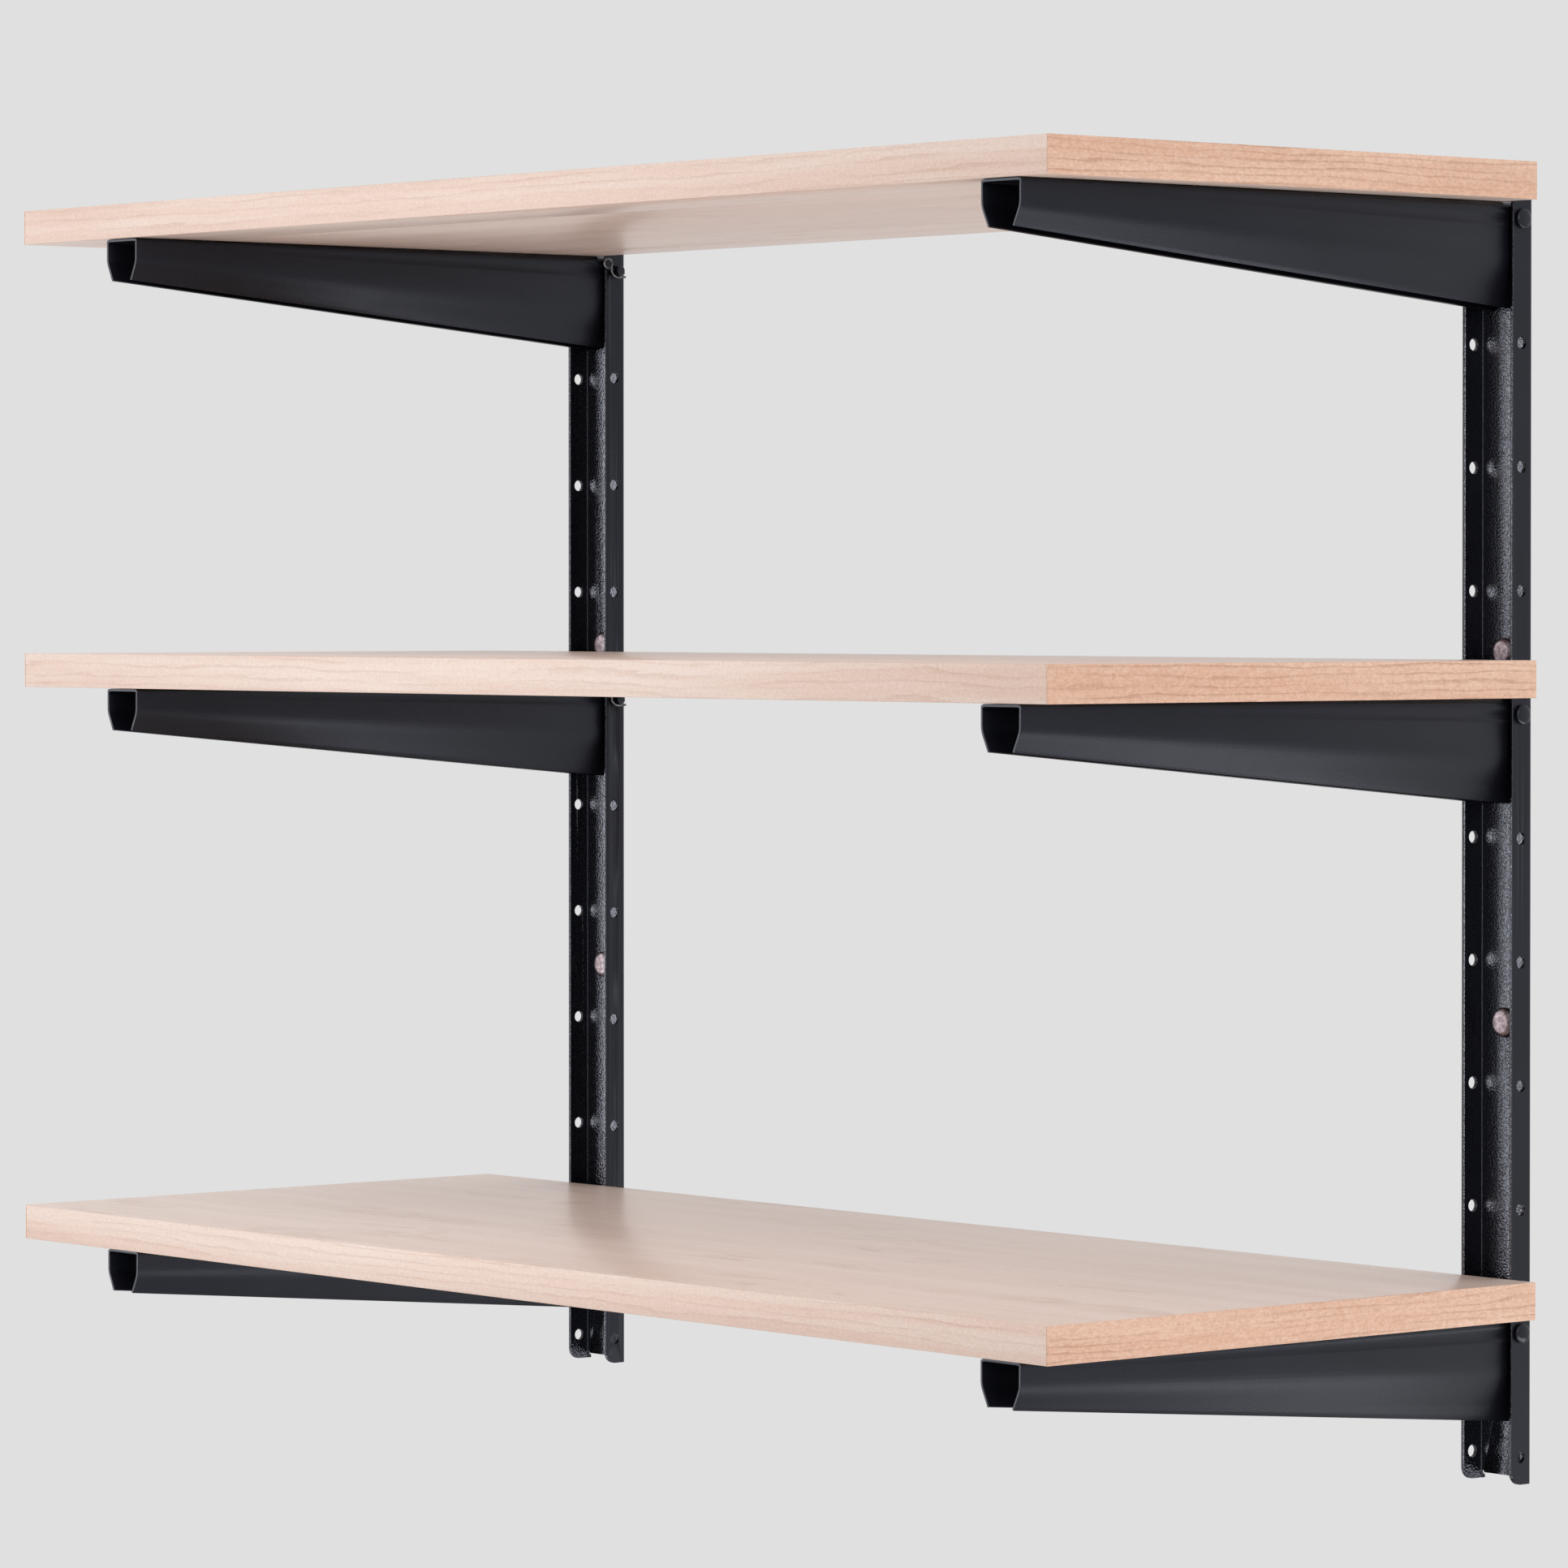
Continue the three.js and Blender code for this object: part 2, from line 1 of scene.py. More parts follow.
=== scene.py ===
# %% [markdown]
# # A heavy-duty wall shelf
#
# Three wood-grain boards lie on six folded-steel brackets. Each bracket hooks into a U-shaped
# steel channel on the wall with a headed pin, and a spring-wire R-clip locks the pin.
# This lesson builds the finished look of every piece round a ready-made frame. The frame holds
# plain solids at their right size and place, and each new piece takes the place of one of them.

# %% Load the frame
import math

import bmesh
import bpy
from mathutils import Matrix, Vector


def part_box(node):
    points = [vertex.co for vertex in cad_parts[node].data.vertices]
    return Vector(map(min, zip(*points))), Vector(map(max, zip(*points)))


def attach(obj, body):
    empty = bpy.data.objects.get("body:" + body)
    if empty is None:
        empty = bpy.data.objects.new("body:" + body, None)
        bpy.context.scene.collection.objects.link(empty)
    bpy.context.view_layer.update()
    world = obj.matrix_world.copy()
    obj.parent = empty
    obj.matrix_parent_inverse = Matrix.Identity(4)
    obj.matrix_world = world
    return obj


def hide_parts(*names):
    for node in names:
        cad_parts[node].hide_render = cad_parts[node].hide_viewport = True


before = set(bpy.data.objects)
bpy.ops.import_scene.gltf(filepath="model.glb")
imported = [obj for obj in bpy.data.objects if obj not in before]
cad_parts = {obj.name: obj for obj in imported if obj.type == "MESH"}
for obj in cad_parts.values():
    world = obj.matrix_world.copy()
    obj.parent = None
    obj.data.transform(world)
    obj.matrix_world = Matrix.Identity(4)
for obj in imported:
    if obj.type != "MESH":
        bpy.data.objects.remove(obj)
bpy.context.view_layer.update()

MM = 0.001
SIDES = ("left", "right")
SHELVES = ("top", "middle", "bottom")


# %% [markdown]
# ## Where things are
#
# Nothing is placed by eye. A named box gives the lowest and highest corner of any solid in the
# frame, so a shelf's height is the height of its hook pin, and a channel's middle is the middle
# of its box.

# %% Places
def box_middle(node):
    low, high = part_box(node)
    return (low + high) / 2


channel_x = {side: box_middle(f"upright_{side}").x for side in SIDES}
pin_height = {shelf: box_middle(f"pin_{shelf}_left").z for shelf in SHELVES}
PIN_AXIS_Y = box_middle("pin_top_left").y
print("channels at x =", channel_x, "pins at z =", pin_height, "y =", PIN_AXIS_Y)

# %% [markdown]
# ## The camera
#
# A long lens, well to the right of the shelf and a little above its middle, keeps the boards'
# edges close to parallel. A small downward shift frames the shelf without tilting the camera
# much, so the channels stay upright.

# %% Camera
FRAME_SIDE = 1932                     # the camera's frame is square
FOCAL_LENGTH = 8587.5                 # in the same unit as the frame's side
SENSOR = 36.0
CAMERA_PLACE = (4.0385, -3.6291, 0.172)
LOOKING_DOWN = 0.814                  # degrees below level
TURNED_LEFT = 50.029                  # degrees from square on to the wall
FRAME_SHIFT = -0.0549
FARTHEST_SEEN = 60

camera_data = bpy.data.cameras.new("camera")
camera_data.sensor_width = SENSOR
camera_data.lens = FOCAL_LENGTH / FRAME_SIDE * SENSOR
camera_data.shift_y = FRAME_SHIFT
camera_data.clip_end = FARTHEST_SEEN
camera = bpy.data.objects.new("camera", camera_data)
camera.location = CAMERA_PLACE
camera.rotation_euler = (math.radians(90 - LOOKING_DOWN), 0, math.radians(TURNED_LEFT))
bpy.context.scene.collection.objects.link(camera)
bpy.context.scene.camera = camera
print("lens, mm:", round(camera_data.lens, 1))

# %% [markdown]
# ## Studio
#
# Black powder coat shows mostly what it reflects. An even pale surround gives it its grey, and
# soft panels add the broad gradients. The key panel stands in front and above, a smaller one on
# the right lights the ends of the boards, and a low panel behind on the right lights the leaning
# lower part of each bracket. A tall panel on the left glances off the inside of the channels and
# picks out the dimples of their coat.
# The floor is a plain pale sheet far below, since the shelf hangs on a wall.

# %% Studio
PALE = 0.745                          # how light the surround is
FLOOR_DROP = 2.6                      # how far the floor lies below the shelf's middle
FLOOR_RADIUS = 9
bpy.context.scene.view_settings.view_transform = "Standard"
world = bpy.data.worlds.new("studio")
world.use_nodes = True
world.node_tree.nodes["Background"].inputs["Color"].default_value = (PALE, PALE, PALE, 1)
bpy.context.scene.world = world


def soft_panel(name, power, size, place, target):
    data = bpy.data.lights.new(name, "AREA")
    data.shape = "RECTANGLE"
    data.energy = power
    data.size, data.size_y = size
    panel = bpy.data.objects.new(name, data)
    panel.location = place
    panel.rotation_euler = (Vector(target) - Vector(place)).to_track_quat("-Z", "Y").to_euler()
    panel.visible_camera = False
    bpy.context.scene.collection.objects.link(panel)


soft_panel("key_panel", power=27, size=(2.0, 2.0), place=(-0.7, -2.4, 3.2), target=(0, -0.3, 0))
soft_panel("left_panel", power=98, size=(2.0, 3.4), place=(-3.9, -3.7, 0.1), target=(0, -0.1, 0))
soft_panel("right_panel", power=25, size=(1.2, 2.4), place=(3.9, -0.9, 1.6),
           target=(0, -0.3, 0.2))
soft_panel("low_panel", power=18, size=(2.6, 0.9), place=(2.6, 1.1, -1.5),
           target=(0.2, -0.2, -0.1))

bpy.ops.mesh.primitive_circle_add(vertices=96, radius=FLOOR_RADIUS, fill_type="NGON",
                                  location=(0, 0, -FLOOR_DROP))
floor = bpy.context.active_object
floor.name = "floor"
floor_finish = bpy.data.materials.new("pale_floor")
floor_finish.use_nodes = True
floor_shader = floor_finish.node_tree.nodes["Principled BSDF"]
floor_shader.inputs["Base Color"].default_value = (0.8, 0.8, 0.8, 1)
floor_shader.inputs["Roughness"].default_value = 0.7
floor.data.materials.append(floor_finish)

# %% [markdown]
# ## Writing shader maths as plain sums
#
# A material is a web of small nodes. Wrapping a node's output in a class whose + - * / make
# Math nodes lets a pattern be written as an expression. Every other node comes from one
# method, which takes the node's type, its settings and what its sockets hold.

# %% Shader helpers
class Number:
    """A number that varies over a surface. Sums on it add Math nodes."""

    def __init__(self, finish, socket):
        self.finish = finish
        self.socket = socket

    def maths(self, operation, first, second=0.0):
        settings = {"operation": operation}
        made = self.finish.node("ShaderNodeMath", settings, {0: first, 1: second})
        return Number(self.finish, made.outputs[0])

    def __add__(self, other):
        return self.maths("ADD", self, other)

    def __radd__(self, other):
        return self.maths("ADD", other, self)

    def __sub__(self, other):
        return self.maths("SUBTRACT", self, other)

    def __rsub__(self, other):
        return self.maths("SUBTRACT", other, self)

    def __mul__(self, other):
        return self.maths("MULTIPLY", self, other)

    def __rmul__(self, other):
        return self.maths("MULTIPLY", other, self)

    def above(self, edge, width):
        """0 below the edge, 1 above it, with a soft step of this width."""
        settings = {"interpolation_type": "SMOOTHSTEP"}
        sockets = {"Value": self, "From Min": edge - width / 2, "From Max": edge + width / 2}
        made = self.finish.node("ShaderNodeMapRange", settings, sockets)
        return Number(self.finish, made.outputs["Result"])


class Finish:
    """One material, built round its Principled shader."""

    def __init__(self, name, **constants):
        self.material = bpy.data.materials.new(name)
        self.material.use_nodes = True
        self.tree = self.material.node_tree
        self.shader = self.tree.nodes["Principled BSDF"]
        self.set(**constants)

    def set(self, **sockets):
        """Sets the shader's sockets, with _ for each space in a socket's name."""
        for name, value in sockets.items():
            self.feed(self.shader.inputs[name.replace("_", " ")], value)

    def feed(self, socket, value):
        if isinstance(value, Number):
            self.tree.links.new(value.socket, socket)
        elif isinstance(value, bpy.types.NodeSocket):
            self.tree.links.new(value, socket)
        else:
            socket.default_value = value

    def node(self, kind, settings=None, sockets=None):
        made = self.tree.nodes.new(kind)
        for name, value in (settings or {}).items():
            setattr(made, name, value)
        for name, value in (sockets or {}).items():
            self.feed(made.inputs[name], value)
        return made

    def place(self, stretch=(1, 1, 1), turn=(0, 0, 0), shift=(0, 0, 0)):
        """A point on the piece, in metres, stretched for a pattern that runs one way."""
        here = self.node("ShaderNodeTexCoord").outputs["Object"]
        sockets = {"Vector": here, "Rotation": turn, "Location": shift}
        turned = self.node("ShaderNodeMapping", None, sockets)
        made = self.node("ShaderNodeMapping", None, {"Vector": turned.outputs[0], "Scale": stretch})
        return made.outputs[0]

    def noise(self, point, scale, detail=2.0, roughness=0.5):
        sockets = {"Vector": point, "Scale": scale, "Detail": detail, "Roughness": roughness}
        return Number(self, self.node("ShaderNodeTexNoise", None, sockets).outputs["Fac"])

    def mix(self, share, first, second):
        made = self.node("ShaderNodeMix", {"data_type": "RGBA"}, {0: share, 6: first, 7: second})
        return made.outputs[2]

    def bump(self, height, strength, distance):
        sockets = {"Height": height, "Strength": strength, "Distance": distance}
        self.set(Normal=self.node("ShaderNodeBump", None, sockets).outputs["Normal"])


# %% [markdown]
# ## Powder coat
#
# Powder coat is dry paint baked on to steel. It shrinks a little as it melts, so its surface has
# the fine dimples of an orange's peel. Outside, the coat is thin and satin. Inside the channels
# it lies thicker and wetter, so the dimples are bolder and the gloss is higher.
# One function makes both from two sizes of noise: one for the dimples, and one for the slow
# changes in gloss that a sprayed coat always has. A few pale grey specks are scattered through it.

# %% Powder coat
COAT_TINT = (0.80, 0.84, 1.0, 1)      # the coat's sheen is faintly blue
SPECK_TONE = (0.14, 0.14, 0.15, 1)
CLOUD_GAIN = 1.7                      # how much lighter the coat's pale clouds are


def powder_coat(name, tone, roughness, dimple_scale, dimple_depth, specular):
    coat = Finish(name, Specular_IOR_Level=specular, Specular_Tint=COAT_TINT)
    point = coat.place()
    dimples = coat.noise(point, dimple_scale, detail=2.0, roughness=0.45)
    cloud = coat.noise(point, scale=9.0, detail=3.0, roughness=0.6)
    specks = coat.noise(point, scale=1100.0, detail=1.0, roughness=0.5).above(0.80, 0.03)
    lighter = tuple(channel * CLOUD_GAIN for channel in tone) + (1,)
    base = coat.mix(cloud.above(0.55, 0.5), tone + (1,), lighter)
    coat.set(Base_Color=coat.mix(specks * 0.6, base, SPECK_TONE))
    coat.set(Roughness=roughness + (cloud - 0.5) * 0.14 + (dimples - 0.5) * 0.08)
    coat.bump(dimples, 1.0, dimple_depth)
    return coat.material


satin_coat = powder_coat("black_powder_coat_satin", tone=(0.003, 0.0031, 0.0052), roughness=0.34,
                         dimple_scale=620.0, dimple_depth=0.06 * MM, specular=0.40)
wet_coat = powder_coat("black_powder_coat_wet", tone=(0.0022, 0.0022, 0.0036), roughness=0.15,
                       dimple_scale=600.0, dimple_depth=0.6 * MM, specular=1.0)
pin_coat = powder_coat("black_pin_gloss", tone=(0.002, 0.002, 0.003), roughness=0.10,
                       dimple_scale=200.0, dimple_depth=0.03 * MM, specular=0.5)
print("coats:", satin_coat.name, wet_coat.name, pin_coat.name)

# %% [markdown]
# ## Zinc plate
#
# Screws, bolts and spring wire are steel with a thin skin of zinc. It is a metal, so its colour
# comes from its reflections, and it clouds unevenly as it ages. Broad noise varies the tone and
# fine noise varies the gloss. The wall bolts have a faint pink passivation.

# %% Zinc
def zinc_plate(name, tone, dull, roughness):
    plate = Finish(name, Metallic=1.0)
    point = plate.place()
    cloud = plate.noise(point, scale=260.0, detail=3.0, roughness=0.6)
    grit = plate.noise(point, scale=2600.0, detail=2.0, roughness=0.6)
    plate.set(Base_Color=plate.mix(cloud.above(0.5, 0.35), tone + (1,), dull + (1,)))
    plate.set(Roughness=roughness + (cloud - 0.5) * 0.20 + (grit - 0.5) * 0.15)
    plate.bump(grit, 0.5, 0.03 * MM)
    return plate.material


bolt_zinc = zinc_plate("zinc_pink", tone=(0.24, 0.20, 0.21), dull=(0.11, 0.085, 0.095),
                       roughness=0.36)
wire_zinc = zinc_plate("zinc_wire", tone=(0.24, 0.23, 0.24), dull=(0.09, 0.085, 0.09),
                       roughness=0.22)
screw_zinc = zinc_plate("zinc_screw", tone=(0.66, 0.65, 0.64), dull=(0.45, 0.44, 0.43),
                        roughness=0.34)
print("zincs:", bolt_zinc.name, wire_zinc.name, screw_zinc.name)

# %% [markdown]
# ## Wood grain
#
# The boards carry a printed laminate of light beech. Grain is made of a few things: growth
# lines, which wander slowly along the board, short dark pores and flecks that all run the same
# way, and broad patches of warmer colour. Each is a pattern that is stretched along the grain.
# A wave texture with distortion draws the growth lines, and its bands lie across the thickness
# and, more widely spaced, across the face, as in a plank cut from a trunk.

# %% Wood grain
QUARTER_TURN = math.pi / 2
WAVE_SPACING = 0.314                  # the wave texture's own spacing, in metres, at scale 1
FLECK_LIGHT = (0.88, 0.74, 0.64, 1)


def wood_grain(name, pale, warm, line, contrast, spacing, roughness, along="x"):
    grain = Finish(name, Specular_IOR_Level=0.5)
    turn = (0, 0, 0) if along == "x" else (0, 0, QUARTER_TURN)
    slow = grain.place((0.45, 6.0, 12.0), turn)
    wander = grain.place((0.09, 0.30, 1.0), turn, (0.37, 0.0, 0.0))
    streak = grain.place((0.05, 1.0, 1.0), turn)
    mottle = grain.place((0.60, 1.0, 1.0), turn)
    sockets = {
        "Vector": wander,
        "Scale": WAVE_SPACING / spacing,
        "Distortion": 11.0,
        "Detail": 4.0,
        "Detail Scale": 0.8,
        "Detail Roughness": 0.65,
    }
    settings = {"wave_type": "BANDS", "bands_direction": "Z", "wave_profile": "SAW"}
    rings = Number(grain, grain.node("ShaderNodeTexWave", settings, sockets).outputs["Fac"])
    fibres = grain.noise(streak, scale=1100.0, detail=4.0, roughness=0.7)
    flecks = grain.noise(mottle, scale=520.0, detail=4.0, roughness=0.8)
    breaks = grain.noise(wander, scale=60.0, detail=3.0, roughness=0.6)
    pores = grain.noise(streak, scale=1700.0, detail=2.0, roughness=0.5).above(0.66, 0.10)
    patches = grain.noise(slow, scale=4.5, detail=4.0, roughness=0.6)
    base = grain.mix(patches.above(0.5, 0.30), pale + (1,), warm + (1,))
    late = rings.above(0.80, 0.34) * (breaks.above(0.47, 0.26) * 0.95 + 0.05)
    base = grain.mix(late * (contrast * 1.15), base, line + (1,))
    base = grain.mix(flecks.above(0.55, 0.22) * (contrast * 0.6), base, line + (1,))
    base = grain.mix((1 - flecks).above(0.58, 0.2) * (contrast * 0.55), base, FLECK_LIGHT)
    grain.set(Base_Color=grain.mix(pores * (contrast * 0.5), base, line + (1,)))
    grain.set(Roughness=roughness + (fibres - 0.5) * 0.10 + pores * 0.06)
    grain.bump(fibres * 0.6 - pores * 0.7, 0.35, 0.06 * MM)
    return grain.material


face_wood = wood_grain("laminate_face", pale=(0.81, 0.66, 0.59), warm=(0.76, 0.60, 0.52),
                       line=(0.58, 0.39, 0.30), contrast=0.36, spacing=6.5 * MM, roughness=0.32)
front_wood = wood_grain("laminate_front", pale=(0.725, 0.575, 0.505), warm=(0.665, 0.48, 0.395),
                        line=(0.50, 0.31, 0.22), contrast=0.34, spacing=7.5 * MM, roughness=0.40)
end_wood = wood_grain("laminate_end", pale=(0.82, 0.53, 0.39), warm=(0.75, 0.445, 0.31),
                      line=(0.45, 0.235, 0.145), contrast=0.52, spacing=6 * MM, roughness=0.40,
                      along="y")
print("woods:", face_wood.name, front_wood.name, end_wood.name)


# %% [markdown]
# ## A small kit of modelling moves
#
# Operators act on whatever is selected, so each piece starts from an empty selection. Faces and
# edges are picked by a rule about where they lie or which way they point, and then the next
# operator works on them, just as a click would pick them by hand.

# %% Modelling helpers
SAME_PLACE = 0.01 * MM                # closer than this counts as the same place
ALONG = 0.98                          # an edge's share of its length along the axis it runs on
FACING = 0.9                          # a normal's share along the way that its face looks
SHARP = 38                            # degrees; a sharper bend than this is shaded as an edge


def select_only(*pieces):
    if bpy.context.object and bpy.context.object.mode != "OBJECT":
        bpy.ops.object.mode_set(mode="OBJECT")
    bpy.ops.object.select_all(action="DESELECT")
    for piece in pieces:
        piece.select_set(True)
    bpy.context.view_layer.objects.active = pieces[0]


def settle(piece):
    """Moves a piece's place, turn and size into its mesh."""
    select_only(piece)
    bpy.ops.object.transform_apply(location=True, rotation=True, scale=True)
    return piece


def begin(name, **solid):
    """A new piece from a named primitive at its size and place."""
    kind = solid.pop("kind")
    size = solid.pop("dimensions", None)
    if bpy.context.object and bpy.context.object.mode != "OBJECT":
        bpy.ops.object.mode_set(mode="OBJECT")
    bpy.ops.object.select_all(action="DESELECT")
    getattr(bpy.ops.mesh, f"primitive_{kind}_add")(**solid)
    piece = bpy.context.active_object
    piece.name = name
    if size:
        piece.scale = size
    return settle(piece)


def pick(piece, kind, rule):
    """In edit mode, selects the faces, edges or vertices for which the rule is true."""
    select_only(piece)
    bpy.ops.object.mode_set(mode="EDIT")
    bpy.ops.mesh.select_mode(type={"verts": "VERT", "edges": "EDGE", "faces": "FACE"}[kind])
    bpy.ops.mesh.select_all(action="DESELECT")
    shape = bmesh.from_edit_mesh(piece.data)
    chosen = [part for part in getattr(shape, kind) if rule(part)]
    for part in chosen:
        part.select_set(True)
    shape.select_flush_mode()
    bmesh.update_edit_mesh(piece.data)
    return len(chosen)


def done():
    bpy.ops.object.mode_set(mode="OBJECT")


def middle(edge):
    return (edge.verts[0].co + edge.verts[1].co) / 2


def runs(edge, axis):
    """True if the edge lies along an axis: 0 for X, 1 for Y or 2 for Z."""
    span = edge.verts[1].co - edge.verts[0].co
    return abs(span[axis]) > ALONG * span.length


def near(value, target):
    return abs(value - target) < SAME_PLACE


def modify(piece, kind, **settings):
    """Adds a modifier, sets it and applies it."""
    select_only(piece)
    made = piece.modifiers.new(kind.lower(), kind)
    for name, value in settings.items():
        setattr(made, name, value)
    bpy.ops.object.modifier_apply(modifier=made.name)


def cut(piece, cutter, operation="DIFFERENCE"):
    """Cuts a piece with another, which is used up."""
    modify(piece, "BOOLEAN", object=cutter, operation=operation, solver="EXACT")
    bpy.data.objects.remove(cutter)


def smooth(piece, angle=SHARP):
    """Shades a piece smooth, apart from bends sharper than the angle."""
    select_only(piece)
    bpy.ops.object.shade_smooth_by_angle(angle=math.radians(angle))


def soften(piece, width, segments=2, angle=35):
    """Breaks the sharp edges, as tumbling and paint do, and smooths the shading between them."""
    modify(piece, "BEVEL", width=width, segments=segments, limit_method="ANGLE",
           angle_limit=math.radians(angle))
    smooth(piece)


def tilt(piece, degrees, centre):
    """Turns a whole piece about an axis along X through the centre."""
    pick(piece, "verts", lambda corner: True)
    bpy.ops.transform.rotate(value=math.radians(degrees), orient_axis="X", center_override=centre)
    done()


def finish_with(piece, *finishes):
    """Gives a piece these finishes, the first of them all over."""
    piece.data.materials.clear()
    for finish in finishes:
        piece.data.materials.append(finish)


def joined(pieces):
    select_only(*pieces)
    bpy.ops.object.join()
    return bpy.context.active_object


def copy_to(master, name, offset, mirrored=False):
    """A copy with its own mesh, moved by changing that mesh."""
    piece = master.copy()
    piece.data = master.data.copy()
    piece.name = piece.data.name = name
    bpy.context.scene.collection.objects.link(piece)
    if mirrored:
        piece.data.transform(Matrix.Scale(-1, 4, (1, 0, 0)))
    piece.data.transform(Matrix.Translation(offset))
    if mirrored:
        pick(piece, "faces", lambda face: True)
        bpy.ops.mesh.normals_make_consistent(inside=False)
        done()
    return piece


def hand_over(piece, body, slot, *nodes):
    """Ties a finished piece to the frame: what it moves with and what it replaces. The slot is not
    used.
    """
    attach(piece, body)
    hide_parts(*nodes)


# %% [markdown]
# ## The wall channels
#
# Each upright is a strip of 3 mm steel folded into a U. The real one is punched flat and then
# folded. Here a plane is the web, its long edges are extruded forward as the two walls, and the
# two folds are bevelled round. Solidify then gives the sheet its thickness, so the inner bend
# radius comes out right by itself.

# %% Fold the channel
CHANNEL_WIDTH = 50.8 * MM
CHANNEL_WALL = 3 * MM
CHANNEL_FOLD = 4 * MM                 # outer radius
channel_low, channel_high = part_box("upright_left")
channel_end = channel_high.z
CHANNEL_DEPTH = channel_high.y - channel_low.y

channel = begin("channel", kind="plane", size=1, rotation=(QUARTER_TURN, 0, 0),
                dimensions=(CHANNEL_WIDTH, 2 * channel_end, 1))
pick(channel, "edges", lambda edge: runs(edge, 2))
bpy.ops.mesh.extrude_edges_move(TRANSFORM_OT_translate={"value": (0, -CHANNEL_DEPTH, 0)})
done()
pick(channel, "edges", lambda edge: runs(edge, 2) and near(middle(edge).y, 0))
bpy.ops.mesh.bevel(offset=CHANNEL_FOLD, segments=8, affect="EDGES")
done()
modify(channel, "SOLIDIFY", thickness=CHANNEL_WALL, offset=1, use_even_offset=True)
print("channel width, mm:", round(channel.dimensions.x / MM, 2))

# %% [markdown]
# ## Ears, notches and holes
#
# The side walls run on past the web as ears with a rounded front corner, which a wide bevel on
# the corner edges gives. The web's end is cut back and small round notches relieve the folds.
# Eleven pin holes go through both walls, and four square holes for the bolts go through the web.
# Each punch is a little longer than the steel it goes through, so its ends cut nothing.

# %% Punch the channel
EAR_RADIUS = 9 * MM
EAR_LENGTH = 4 * MM
NOTCH_RADIUS = 1.8 * MM
NOTCH_SHIFT = 0.11 * MM               # keeps the notch clear of the end cut's own corner
PIN_HOLE_RADIUS = 4.5 * MM
BOLT_HOLE_SIDE = 10.1 * MM
HOLE_PITCH = 88.9 * MM
HOLE_LEVELS = 11
BOLTS = range(1, 5)                   # four to a channel
ACROSS = 60 * MM                      # long enough for both walls of a channel or bracket
WEB_PUNCH = 12 * MM                   # long enough for the web, front to back
END_PUNCH = 9 * MM
PAST_END = 20 * MM                    # how far the end cut runs on beyond the channel
fold_x = CHANNEL_WIDTH / 2 - CHANNEL_FOLD


def is_ear_corner(edge):
    place = middle(edge)
    at_front = near(place.y, -CHANNEL_DEPTH)
    return runs(edge, 0) and at_front and near(abs(place.z), channel_end)


pick(channel, "edges", is_ear_corner)
bpy.ops.mesh.bevel(offset=EAR_RADIUS, segments=10, affect="EDGES")
done()

punches = []
for level in range(HOLE_LEVELS):
    height = (level - (HOLE_LEVELS - 1) / 2) * HOLE_PITCH
    punches.append(begin("punch", kind="cylinder", vertices=40, radius=PIN_HOLE_RADIUS,
                         depth=ACROSS, rotation=(0, QUARTER_TURN, 0),
                         location=(0, PIN_AXIS_Y, height)))
for number in BOLTS:
    height = box_middle(f"wall_bolt_left_{number}").z
    punches.append(begin("punch", kind="cube", size=1, location=(0, 0, height),
                         dimensions=(BOLT_HOLE_SIDE, WEB_PUNCH, BOLT_HOLE_SIDE)))
cut(channel, joined(punches))

ends = []
for end in (-1, 1):
    place = (0, 0, end * (channel_end - EAR_LENGTH / 2 + PAST_END / 2))
    ends.append(begin("end_cut", kind="cube", size=1, location=place,
                      dimensions=(2 * fold_x, END_PUNCH, EAR_LENGTH + PAST_END)))
cut(channel, joined(ends))
notches = []
for end in (-1, 1):
    for side in (-1, 1):
        place = (side * (fold_x - NOTCH_SHIFT), 0, end * (channel_end - EAR_LENGTH - NOTCH_SHIFT))
        notches.append(begin("notch", kind="cylinder", vertices=24, radius=NOTCH_RADIUS,
                             depth=END_PUNCH, rotation=(QUARTER_TURN, 0, 0), location=place))
cut(channel, joined(notches))
soften(channel, 0.35 * MM)
print("channel faces after punching:", len(channel.data.polygons))

# %% [markdown]
# ## Two coats on one piece
#
# The channel takes the satin coat all over, and then the faces inside the U take the wetter
# one, and so do the walls' narrow front edges. A face is inside if it lies within the inner
# walls and doesn't look backwards. Material slots are chosen face by face, so the two coats
# meet along a clean line.

# %% Coat and place the channels
EDGE_DEPTH = 1.2 * MM                 # how far back the front edges' coat reaches
EDGE_WIDTH = 0.6 * MM                 # takes in the fine bevel round each hole's inner rim
BACK_SHARE = 0.6                      # of the web's thickness, left to the satin coat
SIDEWAYS = 0.3                        # a normal with less Y than this looks to the side
inner_x = CHANNEL_WIDTH / 2 - CHANNEL_WALL


def is_inside(face):
    place = face.calc_center_median()
    if place.y < EDGE_DEPTH - CHANNEL_DEPTH and face.normal.y < -SIDEWAYS:
        return True
    if face.normal.y >= SIDEWAYS or place.y >= -CHANNEL_WALL * BACK_SHARE:
        return False
    return abs(place.x) < inner_x + EDGE_WIDTH


finish_with(channel, satin_coat, wet_coat)
inside = pick(channel, "faces", is_inside)
done()
for polygon in channel.data.polygons:
    polygon.material_index = 1 if polygon.select else 0
for side in SIDES:
    piece = copy_to(channel, f"wall_channel_{side}", (channel_x[side], 0, 0))
    hand_over(piece, "uprights", "upright_steel", f"upright_{side}")
bpy.data.objects.remove(channel)
print("inside faces:", inside)

# %% [markdown]
# ## The wall bolts
#
# A low round head with a fine bevelled rim sits on the web, over a square neck that can't turn
# in its square hole. The neck ends flush with the wall. The head starts as a short cylinder.
# Its front face is extruded and shrunk in small steps that follow a circle's arc, which gives
# a crown with an even curve.

